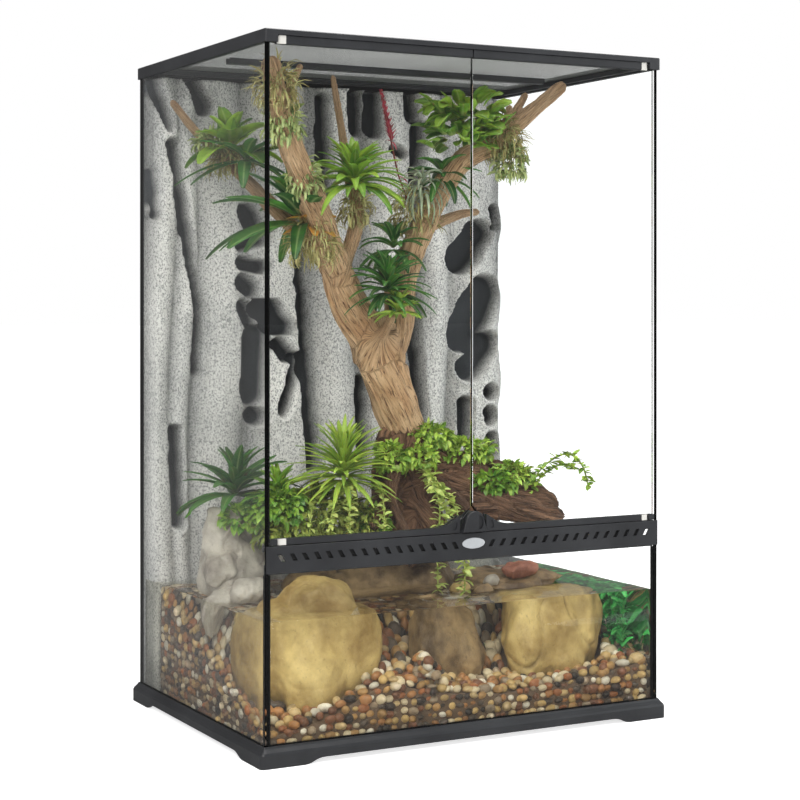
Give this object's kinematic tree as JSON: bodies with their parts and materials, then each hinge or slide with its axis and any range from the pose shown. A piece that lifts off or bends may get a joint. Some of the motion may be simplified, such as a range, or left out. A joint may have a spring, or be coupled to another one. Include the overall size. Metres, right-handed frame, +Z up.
{
  "type": "paludarium",
  "caption": "Tall front-opening glass paludarium with water section, vent rail, latched swing doors, mesh lid, rock-look background, driftwood, stones, gravel and plants.",
  "frame": {"origin": "middle of the footprint on the table plane", "axes": "+X to the right along the front, +Y to the back, +Z up"},
  "size_m": [0.604, 0.454, 0.902],
  "materials": {
    "glass": "clear float glass with green edges",
    "black_plastic": "fine satin grain",
    "silicone": "satin",
    "screen": "powder coated wire",
    "badge": "bare satin plate",
    "nylon": "plain moulded",
    "foam": "rough painted foam",
    "gravel": "mixed smooth pebbles",
    "sandstone": "smooth weathered",
    "brown_rock": "rough",
    "grey_rock": "rough",
    "driftwood": "bare weathered wood",
    "dark_wood": "bark",
    "moss": "soft",
    "leaf": "satin leaf"
  },
  "bodies": {
    "tank": {"air_plant": "leaf", "arching_vine": "leaf", "back_pane": "glass", "background_panel": "foam", "badge_plate": "badge", "base_plinth": "black_plastic", "bottom_pane": "glass", "core_rock": "brown_rock", "dark_boulder": "brown_rock", "driftwood": "driftwood", "front_pane": "glass", "grassy_shrub": "leaf", "gravel_bed": "gravel", "grey_rock": "grey_rock", "hanging_bromeliad": "leaf", "large_bromeliad": "leaf", "left_canopy_plant": "leaf", "left_fern": "leaf", "left_hinge_socket": "black_plastic", "left_pane": "glass", "left_rail_cap": "black_plastic", "lock_housing": "black_plastic", "moss_bank": "moss", "right_canopy_plant": "leaf", "right_hinge_socket": "black_plastic", "right_pane": "glass", "right_rail_cap": "black_plastic", "root_stump": "dark_wood", "shore_creeper": "leaf", "shore_slab": "grey_rock", "silicone_seams": "silicone", "small_bromeliad": "leaf", "tan_boulder": "sandstone", "top_frame": "black_plastic", "vent_mesh": "screen", "vent_rail": "black_plastic", "water_plant": "leaf", "yellow_boulder": "sandstone"},
    "left_door": {"left_door_glass": "glass", "left_door_bottom_rail": "black_plastic", "left_door_top_rail": "black_plastic", "left_lower_pivot": "nylon", "left_upper_pivot": "nylon", "left_door_catch": "black_plastic"},
    "right_door": {"right_door_glass": "glass", "right_door_bottom_rail": "black_plastic", "right_door_top_rail": "black_plastic", "right_lower_pivot": "nylon", "right_upper_pivot": "nylon", "right_door_catch": "black_plastic"},
    "latch": {"latch_knob": "black_plastic", "latch_cam": "black_plastic"},
    "lid": {"lid_frame": "black_plastic", "lid_mesh": "screen", "lid_crossbar": "black_plastic"},
    "left_clip": {"left_lid_clip": "black_plastic"},
    "right_clip": {"right_lid_clip": "black_plastic"},
    "left_shutter": {"left_inlet_shutter": "black_plastic"},
    "right_shutter": {"right_inlet_shutter": "black_plastic"}
  },
  "joints": [
    {"name": "left_door_hinge", "type": "hinge", "parent": "tank", "child": "left_door", "pos_m": [-0.272, -0.2155, 0.58], "axis": [0, 0, -1], "range_deg": [0, 90]},
    {"name": "right_door_hinge", "type": "hinge", "parent": "tank", "child": "right_door", "pos_m": [0.272, -0.2155, 0.58], "axis": [0, 0, 1], "range_deg": [0, 90]},
    {"name": "latch_turn", "type": "hinge", "parent": "tank", "child": "latch", "pos_m": [0, -0.215, 0.274], "axis": [0, 1, 0], "range_deg": [0, 90]},
    {"name": "lid_lift", "type": "slide", "parent": "tank", "child": "lid", "axis": [0, 0, 1], "range_m": [0, 0.06]},
    {"name": "left_clip_slide", "type": "slide", "parent": "tank", "child": "left_clip", "axis": [1, 0, 0], "range_m": [0, 0.008]},
    {"name": "right_clip_slide", "type": "slide", "parent": "tank", "child": "right_clip", "axis": [-1, 0, 0], "range_m": [0, 0.008]},
    {"name": "left_shutter_slide", "type": "slide", "parent": "tank", "child": "left_shutter", "axis": [1, 0, 0], "range_m": [0, 0.055]},
    {"name": "right_shutter_slide", "type": "slide", "parent": "tank", "child": "right_shutter", "axis": [-1, 0, 0], "range_m": [0, 0.055]}
  ]
}
